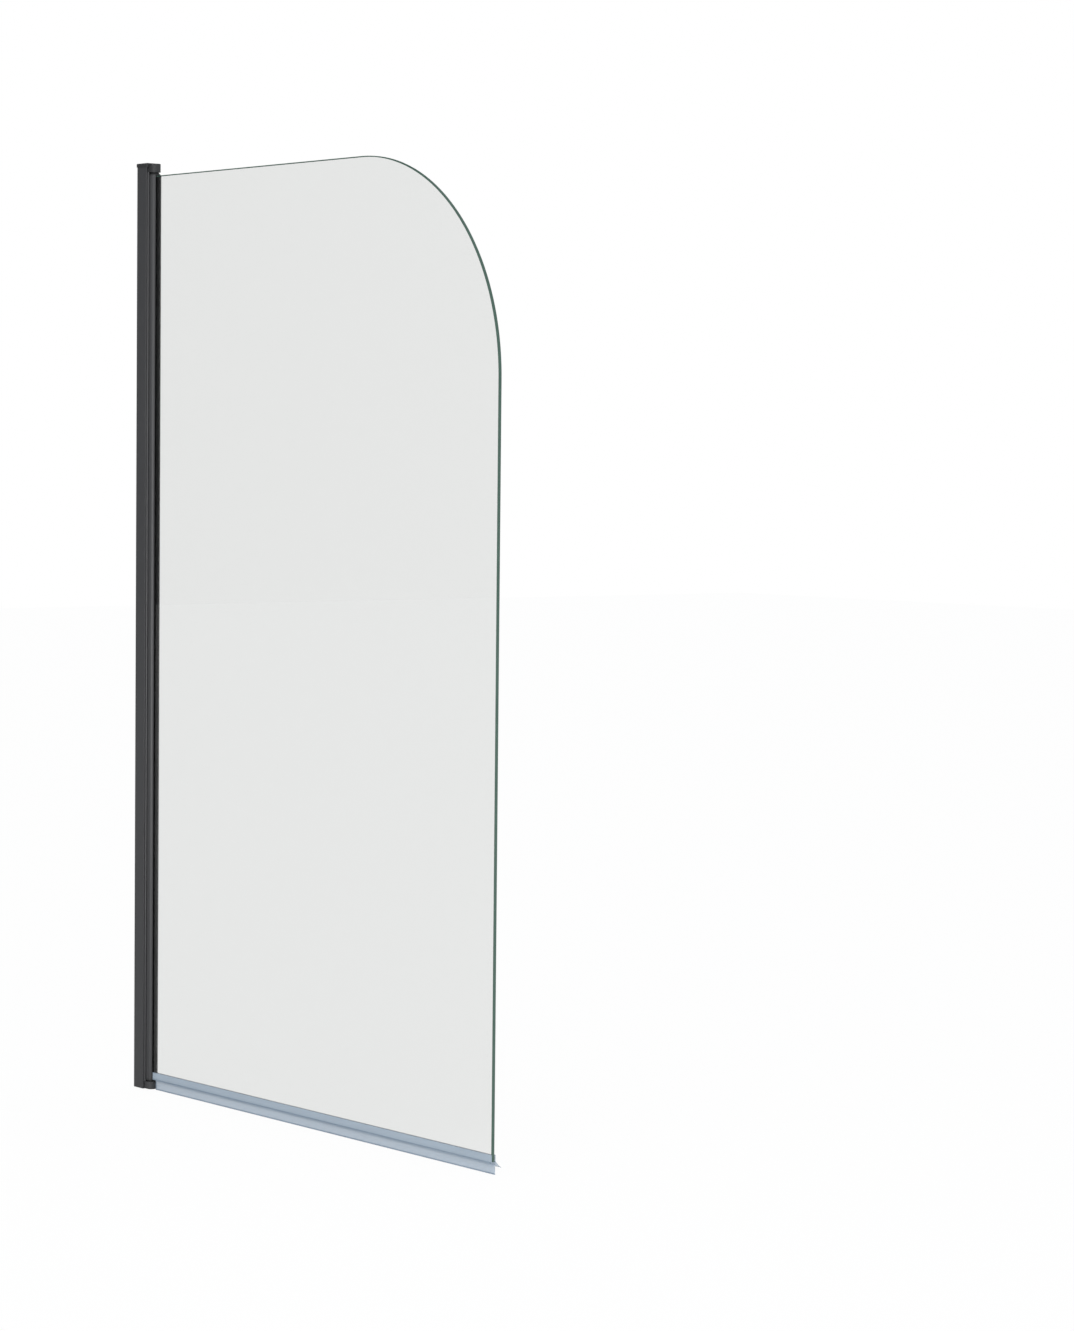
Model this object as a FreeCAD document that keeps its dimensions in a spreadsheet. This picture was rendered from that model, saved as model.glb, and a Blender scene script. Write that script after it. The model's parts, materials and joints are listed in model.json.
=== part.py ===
import FreeCAD, Part
import math
import os
import re

import Sketcher
from FreeCAD import Vector

# A one-panel bath screen: a glass pane that swings on a round pivot post, which stands in front of a
# channel fixed to the wall. X runs out from the wall along the glass, Z runs up, the room is at -Y and
# the bath at +Y. The origin is the middle of the channel's back face at its lower end. Millimetres.

SIZES = {
    # the whole screen
    "screen_height": 1300.0,
    "screen_width": 803.0,
    # the channel on the wall
    "channel_width": 20.0,
    "channel_depth": 23.0,
    "channel_wall": 1.2,
    "channel_round": 0.8,
    "wall_hole_radius": 2.5,
    "wall_hole_first": 100.0,
    # the profile that slides in the channel and has the seat for the post
    "slide_gap": 0.2,
    "slider_back": 6.0,
    "slider_front": 25.6,
    "slider_wall": 1.5,
    "slider_round": 2.6,
    "seat_gap": 0.4,
    "port_place": 13.5,
    "port_outer": 3.0,
    "port_bore": 1.6,
    # the pivot axis and the post that turns on it
    "pivot_place": 29.6,
    "post_radius": 7.7,
    "post_wall": 1.3,
    "slot_half": 3.4,
    "slot_depth": 4.2,
    "slot_cheek": 1.2,
    # the end pieces of the post, its pins and bushes
    "disc_height": 3.0,
    "disc_chamfer": 2.0,
    "foot_chamfer": 0.6,
    "peg_length": 12.0,
    "peg_gap": 0.1,
    "pin_radius": 2.5,
    "pin_head_radius": 4.0,
    "pin_head_height": 1.2,
    "pin_reach": 6.0,
    "pin_tip": 0.5,
    "running_gap": 0.05,
    "bush_outer": 4.2,
    "bush_length": 7.0,
    "bush_flange": 1.2,
    "flange_radius": 5.2,
    "washer_radius": 5.2,
    "washer_thick": 0.3,
    "pivot_gap": 0.1,
    "socket_gap": 0.1,
    "socket_spare": 0.8,
    # the cap at the top and the block at the bottom
    "cap_width": 22.4,
    "cap_depth": 26.2,
    "cap_plate": 3.0,
    "cap_lip": 5.0,
    "cap_chamfer": 0.5,
    "head_height": 12.7,
    "head_step": 1.0,
    "block_height": 10.8,
    "block_round": 1.6,
    "fit_gap": 0.1,
    # screws
    "end_screw_radius": 1.5,
    "end_screw_length": 22.0,
    "end_head_radius": 3.2,
    "end_head_height": 1.8,
    "side_screw_radius": 1.6,
    "side_screw_length": 6.5,
    "side_head_radius": 3.2,
    "side_head_height": 1.8,
    "side_screw_place": 14.0,
    "side_screw_first": 180.0,
    "cover_radius": 4.8,
    "cover_height": 3.0,
    "cover_chamfer": 1.2,
    "screw_gap": 0.1,
    # glass, its gasket in the post and the strip under it
    "glass_thick": 5.0,
    "glass_radius": 290.0,
    "glass_polish": 1.2,
    "glass_top_gap": 0.6,
    "glass_foot_gap": 0.2,
    "gasket_gap": 0.05,
    "gasket_base": 1.2,
    "gasket_short": 6.8,
    "gasket_long": 15.6,
    "gasket_swell": 0.35,
    "gasket_edge": 0.4,
    "strip_start": 8.2,
    "strip_wall": 0.9,
    "strip_grip": 8.9,
    "strip_web": 1.4,
    "fin_place": 1.9,
    "fin_thick": 0.9,
    "fin_drop": 15.0,
    "bead_swell": 0.4,
    "bead_height": 1.4,
    "drip_start": 12.0,
    "drip_reach": 9.0,
    "drip_drop": 7.2,
    "drip_tip": 0.6,
    "drip_root": 3.2,
    "drip_rise": 2.2,
}
WALL_HOLES = 3
SIDE_SCREWS = 3

# Heights and places that follow from the sizes, as expressions for the sheet.
HEAD_LOW = "(screen_height - head_height)"
CHANNEL_TOP = "(screen_height - cap_plate)"
POST_LOW = "(block_height + bush_flange + washer_thick + pivot_gap + disc_height)"
POST_TOP = "(screen_height - head_height - bush_flange - pivot_gap - disc_height)"
GLASS_LOW = f"({POST_LOW} + glass_foot_gap)"
GLASS_TOP = f"({POST_TOP} - glass_top_gap)"
GLASS_BACK = "(pivot_place - slot_depth + gasket_gap + gasket_base + gasket_gap)"
SLIDER_HALF = "(channel_width / 2 - channel_wall - slide_gap)"
WALL_HOLE_PITCH = f"((screen_height - 2 * wall_hole_first) / {WALL_HOLES - 1})"
SIDE_SCREW_PITCH = f"((screen_height - 2 * side_screw_first) / {SIDE_SCREWS - 1})"
BUSH_BORE = "(pin_radius + running_gap)"
SOCKET_RADIUS = "(bush_outer + socket_gap)"

doc = FreeCAD.newDocument("bath_screen")
sheet = doc.addObject("Spreadsheet::Sheet", "Sizes")
for row, (alias, number) in enumerate(SIZES.items(), start=1):
    sheet.set(f"A{row}", alias)
    sheet.set(f"B{row}", str(number))
    sheet.setAlias(f"B{row}", alias)
doc.recompute()

nodes = []


def bound(text):
    """The expression with each size's name pointing at its cell."""
    return re.sub(r"[a-z]+(?:_[a-z]+)+", lambda found: f"Sizes.{found.group(0)}", text)


def bind(thing, **places):
    """Binds properties, whose dots are written as two underscores, to expressions on the sheet."""
    for name, text in places.items():
        thing.setExpression(name.replace("__", "."), bound(text))


def node(thing, label):
    """Names a finished sub-part and puts it on the list of what is written."""
    thing.Label = label
    nodes.append(thing)
    return thing


# ---- sketches, whose every point is held by the sheet ----------------------------------------


def new_body(label, x="0", z="0"):
    body = doc.addObject("PartDesign::Body", label)
    bind(body, Placement__Base__x=x, Placement__Base__z=z)
    return node(body, label)


def new_sketch(body, role, offset="0"):
    """A sketch on one of the body's own planes, moved along that plane's normal."""
    plane = next(o for o in body.Origin.OriginFeatures if o.Role == role)
    sketch = body.newObject("Sketcher::SketchObject", f"{body.Name}_sketch")
    sketch.AttachmentSupport = [(plane, "")]
    sketch.MapMode = "FlatFace"
    bind(sketch, AttachmentOffset__Base__z=offset)
    return sketch


def hold(sketch, geometry, point, x, y):
    """Holds a point at x and y from the sketch's origin."""
    for kind, text in (("DistanceX", x), ("DistanceY", y)):
        number = sketch.addConstraint(Sketcher.Constraint(kind, -1, 1, geometry, point, 1.0))
        sketch.setExpression(f"Constraints[{number}]", bound(text))


def outline(sketch, *points):
    """A closed outline of straight lines through points written as expressions."""
    first = sketch.GeometryCount
    total = len(points)
    turns = [2 * math.pi * i / total for i in range(total)]
    guess = [Vector(math.cos(turned), math.sin(turned)) for turned in turns]
    for i in range(total):
        sketch.addGeometry(Part.LineSegment(guess[i], guess[(i + 1) % total]))
    for i in range(total):
        after = first + (i + 1) % total
        sketch.addConstraint(Sketcher.Constraint("Coincident", first + i, 2, after, 1))
    for i, (x, y) in enumerate(points):
        hold(sketch, first + i, 1, x, y)


def oblong(sketch, x_low, x_high, y_low, y_high):
    outline(sketch, (x_low, y_low), (x_high, y_low), (x_high, y_high), (x_low, y_high))


def ring(sketch, x, y, radius):
    circle = sketch.addGeometry(Part.Circle(Vector(0, 0, 0), Vector(0, 0, 1), 1.0))
    hold(sketch, circle, 3, x, y)
    number = sketch.addConstraint(Sketcher.Constraint("Radius", circle, 1.0))
    sketch.setExpression(f"Constraints[{number}]", bound(radius))


def round_segment(sketch, radius, chord, side, guess_radius, guess_chord):
    """The part of a disc round the origin that lies beyond a chord at that height, above or below."""
    half = math.acos(guess_chord / guess_radius)
    middle = side * math.pi / 2
    circle = Part.Circle(Vector(0, 0, 0), Vector(0, 0, 1), guess_radius)
    arc = sketch.addGeometry(Part.ArcOfCircle(circle, middle - half, middle + half))
    start = Vector(guess_radius * math.cos(middle + half), guess_radius * math.sin(middle + half))
    end = Vector(guess_radius * math.cos(middle - half), guess_radius * math.sin(middle - half))
    line = sketch.addGeometry(Part.LineSegment(start, end))
    sketch.addConstraint(Sketcher.Constraint("Coincident", arc, 3, -1, 1))
    sketch.addConstraint(Sketcher.Constraint("Coincident", arc, 2, line, 1))
    sketch.addConstraint(Sketcher.Constraint("Coincident", line, 2, arc, 1))
    sketch.addConstraint(Sketcher.Constraint("Horizontal", line))
    number = sketch.addConstraint(Sketcher.Constraint("Radius", arc, guess_radius))
    sketch.setExpression(f"Constraints[{number}]", bound(radius))
    number = sketch.addConstraint(Sketcher.Constraint("DistanceY", -1, 1, line, 1, side * guess_chord))
    sketch.setExpression(f"Constraints[{number}]", bound(chord if side > 0 else f"-({chord})"))


# ---- features --------------------------------------------------------------------------------


def pad(body, sketch, length, midplane=False):
    feature = body.newObject("PartDesign::Pad", f"{body.Name}_pad")
    feature.Profile = sketch
    feature.Midplane = midplane
    bind(feature, Length=length)
    body.Tip = feature
    doc.recompute()
    return feature


def cut(body, sketch, length=None, up=False):
    """A pocket along the whole body, or of one length that goes up or down the sketch's normal."""
    before = body.Shape.Volume
    feature = body.newObject("PartDesign::Pocket", f"{body.Name}_pocket")
    feature.Profile = sketch
    if length is None:
        feature.Type = "ThroughAll"
        feature.Midplane = True
    else:
        feature.Reversed = up
        bind(feature, Length=length)
    body.Tip = feature
    doc.recompute()
    if not body.Shape.Volume < before - 1e-6:
        raise RuntimeError(f"{body.Label}: {feature.Name} cuts nothing")
    return feature


def turn(body, *points):
    """A solid of revolution round Z, from half of its section in X and Z."""
    sketch = new_sketch(body, "XZ_Plane")
    outline(sketch, *points)
    feature = body.newObject("PartDesign::Revolution", f"{body.Name}_turned")
    feature.Profile = sketch
    feature.ReferenceAxis = (sketch, ["V_Axis"])
    feature.Angle = 360
    body.Tip = feature
    doc.recompute()
    return feature


def edges_where(shape, wanted):
    """Names of the edges whose middle point and direction meet a test."""
    names = []
    for number, edge in enumerate(shape.Edges, start=1):
        middle = edge.valueAt((edge.FirstParameter + edge.LastParameter) / 2)
        if wanted(edge, middle):
            names.append(f"Edge{number}")
    return names


def ease(body, kind, size, wanted):
    """A fillet or a chamfer on the edges of the body's tip that meet a test."""
    doc.recompute()
    names = edges_where(body.Tip.Shape, wanted)
    if not names:
        raise RuntimeError(f"{body.Label}: no edge to ease")
    base = body.Tip
    feature = body.newObject(f"PartDesign::{kind}", f"{body.Name}_{kind.lower()}")
    feature.Base = (base, names)
    bind(feature, **{"Radius" if kind == "Fillet" else "Size": size})
    body.Tip = feature
    doc.recompute()
    return feature


def repeat(body, feature, sketch, axis, length, count):
    """A row of one feature along an axis of its sketch."""
    row = body.newObject("PartDesign::LinearPattern", f"{body.Name}_row")
    row.Originals = [feature]
    row.Direction = (sketch, [axis])
    bind(row, Length=length)
    row.Occurrences = count
    body.Tip = row
    doc.recompute()
    return row


def size(alias):
    return float(sheet.get(alias))


def upright(edge):
    ends = edge.Vertexes
    return len(ends) == 2 and (ends[0].Point - ends[1].Point).cross(Vector(0, 0, 1)).Length < 1e-6


# ---- the fixed side --------------------------------------------------------------------------


def wall_channel():
    """The channel screwed to the wall, open towards the room's side of the pivot."""
    body = new_body("wall_channel")
    section = new_sketch(body, "XY_Plane")
    oblong(section, "0", "channel_depth", "-channel_width / 2", "channel_width / 2")
    pad(body, section, CHANNEL_TOP)
    hollow = new_sketch(body, "XY_Plane")
    half = "(channel_width / 2 - channel_wall)"
    oblong(hollow, "channel_wall", "channel_depth + channel_wall", f"-{half}", half)
    cut(body, hollow)
    wide = size("channel_width") / 2
    deep = size("channel_depth")
    ease(
        body,
        "Fillet",
        "channel_round",
        lambda edge, at: upright(edge) and abs(abs(at.y) - wide) < 1e-6 and abs(at.x - deep) < 1e-6,
    )

    wall_hole = new_sketch(body, "YZ_Plane")
    ring(wall_hole, "0", "wall_hole_first", "wall_hole_radius")
    hole = cut(body, wall_hole, "2 * channel_wall", up=True)
    repeat(body, hole, wall_hole, "V_Axis", f"{WALL_HOLES - 1} * {WALL_HOLE_PITCH}", WALL_HOLES)

    side_hole = new_sketch(body, "XZ_Plane", "-channel_width / 2")
    ring(side_hole, "side_screw_place", "side_screw_first", "side_screw_radius + screw_gap")
    hole = cut(body, side_hole, "channel_wall * 1.5", up=True)
    repeat(body, hole, side_hole, "V_Axis", f"{SIDE_SCREWS - 1} * {SIDE_SCREW_PITCH}", SIDE_SCREWS)


def slide_profile():
    """The hollow profile that slides in the channel, with a round seat for the post in front."""
    body = new_body("slide_profile")
    low = "block_height + fit_gap"
    section = new_sketch(body, "XY_Plane", low)
    oblong(section, "slider_back", "slider_front", f"-{SLIDER_HALF}", SLIDER_HALF)
    pad(body, section, f"{HEAD_LOW} - fit_gap - block_height - fit_gap")
    front = size("slider_front")
    ease(body, "Fillet", "slider_round", lambda edge, at: upright(edge) and at.x > front - 1e-6)

    seat = new_sketch(body, "XY_Plane", low)
    ring(seat, "pivot_place", "0", "post_radius + seat_gap")
    cut(body, seat)

    hollow = new_sketch(body, "XY_Plane", low)
    inner = f"({SLIDER_HALF} - slider_wall)"
    oblong(
        hollow,
        "slider_back + slider_wall",
        "pivot_place - post_radius - seat_gap - slider_wall",
        f"-{inner}",
        inner,
    )
    cut(body, hollow)

    port = new_sketch(body, "XY_Plane", low)
    ring(port, "port_place", "0", "port_outer")
    pad(body, port, f"{HEAD_LOW} - fit_gap - block_height - fit_gap")
    web = new_sketch(body, "XY_Plane", low)
    oblong(
        web,
        "slider_back + slider_wall / 2",
        "port_place - port_bore - (port_outer - port_bore) / 2",
        "-slider_wall / 2",
        "slider_wall / 2",
    )
    pad(body, web, f"{HEAD_LOW} - fit_gap - block_height - fit_gap")
    bore = new_sketch(body, "XY_Plane", low)
    ring(bore, "port_place", "0", "port_bore")
    cut(body, bore)

    side_hole = new_sketch(body, "XZ_Plane", f"-{SLIDER_HALF}")
    ring(side_hole, "side_screw_place", "side_screw_first", "side_screw_radius + screw_gap")
    hole = cut(body, side_hole, "slider_wall * 1.5", up=True)
    repeat(body, hole, side_hole, "V_Axis", f"{SIDE_SCREWS - 1} * {SIDE_SCREW_PITCH}", SIDE_SCREWS)


def nose(body, low, high, back):
    """The round nose in front of the channel that holds a bush, with the plug behind it."""
    inside = new_sketch(body, "XY_Plane", low)
    oblong(inside, back, "channel_depth", f"-{SLIDER_HALF}", SLIDER_HALF)
    pad(body, inside, f"{high} - ({low})")
    neck = new_sketch(body, "XY_Plane", low)
    oblong(neck, "channel_depth / 2", "pivot_place", "-post_radius", "post_radius")
    pad(body, neck, f"{high} - ({low})")
    front = new_sketch(body, "XY_Plane", low)
    ring(front, "pivot_place", "0", "post_radius")
    pad(body, front, f"{high} - ({low})")


def screw_hole(body, face, up):
    """The clearance hole of an end screw and the recess of its head, from one outer face."""
    hole = new_sketch(body, "XY_Plane", face)
    ring(hole, "port_place", "0", "end_screw_radius + screw_gap")
    cut(body, hole)
    recess = new_sketch(body, "XY_Plane", face)
    ring(recess, "port_place", "0", "end_head_radius + screw_gap")
    cut(body, recess, "end_head_height + screw_gap", up=up)


def top_cap():
    """The moulded cap: a lip over the channel's end, a plug inside it and the upper pivot head."""
    body = new_body("top_cap")
    lid = new_sketch(body, "XY_Plane", "screen_height - cap_lip")
    oblong(lid, "0", "cap_depth", "-cap_width / 2", "cap_width / 2")
    pad(body, lid, "cap_lip")
    tall = size("screen_height")
    reach = size("cap_depth")
    wide = size("cap_width") / 2
    ease(
        body,
        "Chamfer",
        "cap_chamfer",
        lambda edge, at: abs(at.z - tall) < 1e-6 and at.x > 1e-6
        or upright(edge) and abs(at.x - reach) < 1e-6 and abs(abs(at.y) - wide) < 1e-6,
    )
    rim = new_sketch(body, "XY_Plane", "screen_height - cap_lip")
    half = "(channel_width / 2 + fit_gap)"
    oblong(rim, "-1", "channel_depth + fit_gap", f"-{half}", half)
    cut(body, rim, "cap_lip - cap_plate + fit_gap", up=True)
    nose(body, HEAD_LOW, "(screen_height - head_step)", "channel_wall + slide_gap")
    socket = new_sketch(body, "XY_Plane", HEAD_LOW)
    ring(socket, "pivot_place", "0", SOCKET_RADIUS)
    cut(body, socket, "bush_length + socket_spare", up=True)
    screw_hole(body, "screen_height", up=False)
    front = size("pivot_place")
    crown = tall - size("head_step")
    ease(body, "Chamfer", "cap_chamfer", lambda edge, at: abs(at.z - crown) < 1e-6 and at.x > front)


def bottom_block():
    """The moulded block at the foot: a plug in the channel's end and the round boss under the post."""
    body = new_body("bottom_block")
    nose(body, "0", "block_height", "channel_wall + slide_gap")
    socket = new_sketch(body, "XY_Plane", "block_height")
    ring(socket, "pivot_place", "0", SOCKET_RADIUS)
    cut(body, socket, "bush_length + socket_spare")
    front = size("pivot_place")
    ease(body, "Fillet", "block_round", lambda edge, at: abs(at.z) < 1e-6 and at.x > front)
    screw_hole(body, "0", up=True)


def bush(label, z, flip):
    """A flanged bush: the flange lies between the post's end disc and the cap or block."""
    body = new_body(label, "pivot_place", z)
    turn(
        body,
        (BUSH_BORE, "0"),
        ("flange_radius", "0"),
        ("flange_radius", "bush_flange"),
        ("bush_outer", "bush_flange"),
        ("bush_outer", "bush_flange + bush_length"),
        (BUSH_BORE, "bush_flange + bush_length"),
    )
    if flip:
        body.Placement.Rotation = FreeCAD.Rotation(Vector(1, 0, 0), 180)


def thrust_washer():
    """The black washer on the lower bush, which takes the weight of the panel."""
    body = new_body("thrust_washer", "pivot_place", "block_height + bush_flange")
    section = new_sketch(body, "XY_Plane")
    ring(section, "0", "0", "washer_radius")
    ring(section, "0", "0", BUSH_BORE)
    pad(body, section, "washer_thick")


# ---- the side that turns ---------------------------------------------------------------------


def pivot_post():
    """The round post: an extruded tube with a deep slot for the glass and a hollow on each side of it."""
    body = new_body("pivot_post", "pivot_place", POST_LOW)
    section = new_sketch(body, "XY_Plane")
    ring(section, "0", "0", "post_radius")
    pad(body, section, f"{POST_TOP} - {POST_LOW}")
    slot = new_sketch(body, "XY_Plane")
    oblong(slot, "-slot_depth", "2 * post_radius", "-slot_half", "slot_half")
    cut(body, slot)
    for side in (1, -1):
        hollow = new_sketch(body, "XY_Plane")
        round_segment(
            hollow,
            "post_radius - post_wall",
            "slot_half + slot_cheek",
            side,
            size("post_radius") - size("post_wall"),
            size("slot_half") + size("slot_cheek"),
        )
        cut(body, hollow)


def post_end(label, z, flip, chamfer):
    """The moulded end of the post: a disc as wide as the post, with two pegs in the post's hollows."""
    body = new_body(label, "pivot_place", z)
    disc = new_sketch(body, "XY_Plane")
    ring(disc, "0", "0", "post_radius")
    pad(body, disc, "disc_height")
    for side in (1, -1):
        peg = new_sketch(body, "XY_Plane", "-peg_length")
        round_segment(
            peg,
            "post_radius - post_wall - peg_gap",
            "slot_half + slot_cheek + peg_gap",
            side,
            size("post_radius") - size("post_wall") - size("peg_gap"),
            size("slot_half") + size("slot_cheek") + size("peg_gap"),
        )
        pad(body, peg, "peg_length")
    head = new_sketch(body, "XY_Plane")
    ring(head, "0", "0", "pin_head_radius + fit_gap")
    cut(body, head, "pin_head_height + fit_gap", up=True)
    bore = new_sketch(body, "XY_Plane")
    ring(bore, "0", "0", "pin_radius + running_gap")
    cut(body, bore, "disc_height", up=True)
    rim = size("post_radius")
    tall = size("disc_height")
    ease(
        body,
        "Chamfer",
        chamfer,
        lambda edge, at: abs(at.z - tall) < 1e-6 and abs(math.hypot(at.x, at.y) - rim) < 1e-6,
    )
    if flip:
        body.Placement.Rotation = FreeCAD.Rotation(Vector(1, 0, 0), 180)


def pivot_pin(label, z, flip, extra=""):
    """A headed steel pin: the head sits under the disc and the shank runs in the bush."""
    body = new_body(label, "pivot_place", z)
    reach = f"disc_height + pivot_gap + {extra}bush_flange + pin_reach"
    turn(
        body,
        ("0", "0"),
        ("pin_head_radius", "0"),
        ("pin_head_radius", "pin_head_height"),
        ("pin_radius", "pin_head_height"),
        ("pin_radius", f"{reach} - pin_tip"),
        ("pin_radius - pin_tip", reach),
        ("0", reach),
    )
    if flip:
        body.Placement.Rotation = FreeCAD.Rotation(Vector(1, 0, 0), 180)


def glass_gasket():
    """The rubber channel that grips the glass in the slot, with a longer lip on the bath's side."""
    body = new_body("glass_gasket", "pivot_place", POST_LOW)
    face = "(glass_thick / 2 + gasket_gap)"
    wall = "(slot_half - gasket_gap)"
    back = "-(slot_depth - gasket_gap)"
    base = "-(slot_depth - gasket_gap - gasket_base)"
    section = new_sketch(body, "XY_Plane")
    outline(
        section,
        (back, f"-{wall}"),
        ("gasket_short", f"-{wall}"),
        ("gasket_short", f"-{face}"),
        (base, f"-{face}"),
        (base, face),
        ("gasket_long", face),
        ("gasket_long", f"{face} + gasket_edge"),
        ("post_radius - gasket_gap", f"{wall} + gasket_swell"),
        ("gasket_short + gasket_gap", wall),
        (back, wall),
    )
    pad(body, section, f"{GLASS_TOP} - {POST_LOW}")
    notch = new_sketch(body, "XY_Plane")
    lip = "slot_half + gasket_swell + fit_gap"
    oblong(notch, "strip_start - fit_gap", "gasket_long + fit_gap", face, lip)
    cut(body, notch, "glass_foot_gap - gasket_gap + strip_grip + fit_gap", up=True)


def glass_pane():
    """The toughened pane: upright and square at the post, with one large round upper corner."""
    body = new_body("glass_pane")
    sheet_of_glass = new_sketch(body, "XZ_Plane")
    oblong(sheet_of_glass, GLASS_BACK, "screen_width", GLASS_LOW, GLASS_TOP)
    pad(body, sheet_of_glass, "glass_thick", midplane=True)
    far = size("screen_width")
    corner = body.Shape.BoundBox.ZMax
    ease(
        body,
        "Fillet",
        "glass_radius",
        lambda edge, at: abs(at.x - far) < 1e-6 and abs(at.z - corner) < 1e-6 and abs(at.y) < 1e-6,
    )
    half = size("glass_thick") / 2
    near = size("pivot_place") + size("post_radius")
    foot = body.Shape.BoundBox.ZMin
    ease(
        body,
        "Chamfer",
        "glass_polish",
        lambda edge, at: abs(abs(at.y) - half) < 1e-6 and at.z > foot + 1 and at.x > near,
    )


def bottom_strip():
    """The clear strip clipped under the glass: legs, a web, a wiping fin and a fin that sheds drips."""
    body = new_body("bottom_strip")
    face = "(glass_thick / 2 + gasket_gap)"
    outer = f"({face} + strip_wall)"
    seat = f"({GLASS_LOW} - gasket_gap)"
    web = f"({seat} - strip_web)"
    top = f"({seat} + strip_grip)"
    tip = f"({web} - fin_drop)"
    fin_in = "fin_place"
    fin_out = "(fin_place + fin_thick)"
    section = new_sketch(body, "YZ_Plane", "pivot_place + strip_start")
    outline(
        section,
        (f"-{outer}", web),
        (f"-{outer}", top),
        (f"-{face}", top),
        (f"-{face}", seat),
        (face, seat),
        (face, top),
        (outer, top),
        (outer, web),
        (fin_out, web),
        (fin_out, f"{tip} + bead_height"),
        (f"{fin_out} + bead_swell", f"{tip} + bead_height / 2"),
        (fin_out, tip),
        (fin_in, tip),
        (f"{fin_in} - bead_swell", f"{tip} + bead_height / 2"),
        (fin_in, f"{tip} + bead_height"),
        (fin_in, web),
    )
    pad(body, section, "screen_width - pivot_place - strip_start")
    drip = new_sketch(body, "YZ_Plane", "pivot_place + drip_start")
    leg = f"({outer} - strip_wall / 2)"
    fin = "(fin_place + fin_thick / 2)"
    outline(
        drip,
        (fin, f"{web} - drip_root"),
        (f"{outer} + drip_reach", f"{web} - drip_drop"),
        (f"{outer} + drip_reach", f"{web} - drip_drop + drip_tip"),
        (outer, f"{web} + drip_rise"),
        (leg, f"{web} + drip_rise"),
        (leg, f"{web} + strip_web / 2"),
        (fin, f"{web} + strip_web / 2"),
    )
    pad(body, drip, "screen_width - pivot_place - drip_start")


# ---- fasteners, each kind one sub-part of several solids -------------------------------------


def rod(radius, length, x, y, z, rotation):
    """A cylinder of those sizes with its foot at that place."""
    thing = doc.addObject("Part::Cylinder", "rod")
    bind(thing, Radius=radius, Height=length)
    bind(thing, Placement__Base__x=x, Placement__Base__y=y, Placement__Base__z=z)
    thing.Placement.Rotation = rotation
    return thing


def fused(*things):
    whole = doc.addObject("Part::MultiFuse", "fused")
    whole.Shapes = list(things)
    doc.recompute()
    return whole


def group(label, things):
    whole = doc.addObject("Part::Compound", label)
    whole.Links = list(things)
    doc.recompute()
    return node(whole, label)


def end_screws():
    """Two screws that hold the cap and the block to the port of the sliding profile."""
    up = FreeCAD.Rotation()
    down = FreeCAD.Rotation(Vector(1, 0, 0), 180)
    screws = []
    for face, turned, sign in (("0", up, 1), ("screen_height", down, -1)):
        head = rod("end_head_radius", "end_head_height", "port_place", "0", face, turned)
        shank = rod(
            "end_screw_radius",
            "end_screw_length - end_head_height / 2",
            "port_place",
            "0",
            f"{face} + {sign} * end_head_height / 2",
            turned,
        )
        screws.append(fused(head, shank))
    group("end_screws", screws)


def side_screws():
    """Screws through the channel's bath side that lock the sliding profile."""
    outwards = FreeCAD.Rotation(Vector(1, 0, 0), -90)
    screws = []
    for number in range(SIDE_SCREWS):
        z = f"side_screw_first + {number} * {SIDE_SCREW_PITCH}"
        face = "channel_width / 2"
        head = rod("side_head_radius", "side_head_height", "side_screw_place", face, z, outwards)
        root = f"{face} - side_screw_length"
        reach = "side_screw_length + side_head_height / 2"
        screws.append(fused(head, rod("side_screw_radius", reach, "side_screw_place", root, z, outwards)))
    group("side_screws", screws)


def screw_covers():
    """Covers with a chamfered rim, pushed over the heads of the side screws."""
    outwards = FreeCAD.Rotation(Vector(1, 0, 0), -90)
    covers = []
    for number in range(SIDE_SCREWS):
        z = f"side_screw_first + {number} * {SIDE_SCREW_PITCH}"
        face = "channel_width / 2"
        dome = rod("cover_radius", "cover_height", "side_screw_place", face, z, outwards)
        doc.recompute()
        rim = size("channel_width") / 2 + size("cover_height")
        names = edges_where(dome.Shape, lambda edge, at: abs(at.y - rim) < 1e-6 and edge.Length > 1)
        eased = doc.addObject("Part::Chamfer", "eased")
        eased.Base = dome
        width = size("cover_chamfer")
        eased.Edges = [(int(name[4:]), width, width) for name in names]
        inside = rod(
            "side_head_radius + screw_gap",
            "side_head_height + screw_gap",
            "side_screw_place",
            face,
            z,
            outwards,
        )
        cover = doc.addObject("Part::Cut", "cover")
        cover.Base = eased
        cover.Tool = inside
        doc.recompute()
        covers.append(cover)
    group("screw_covers", covers)


wall_channel()
slide_profile()
side_screws()
screw_covers()
top_cap()
bottom_block()
end_screws()
bush("top_bush", f"{HEAD_LOW} - bush_flange", flip=False)
bush("bottom_bush", "block_height + bush_flange", flip=True)
thrust_washer()
pivot_post()
post_end("top_post_end", POST_TOP, flip=False, chamfer="disc_chamfer")
post_end("bottom_post_end", POST_LOW, flip=True, chamfer="foot_chamfer")
pivot_pin("top_pivot_pin", POST_TOP, flip=False)
pivot_pin("bottom_pivot_pin", POST_LOW, flip=True, extra="washer_thick + ")
glass_gasket()
glass_pane()
bottom_strip()

# ---- checks and files ------------------------------------------------------------------------

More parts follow.
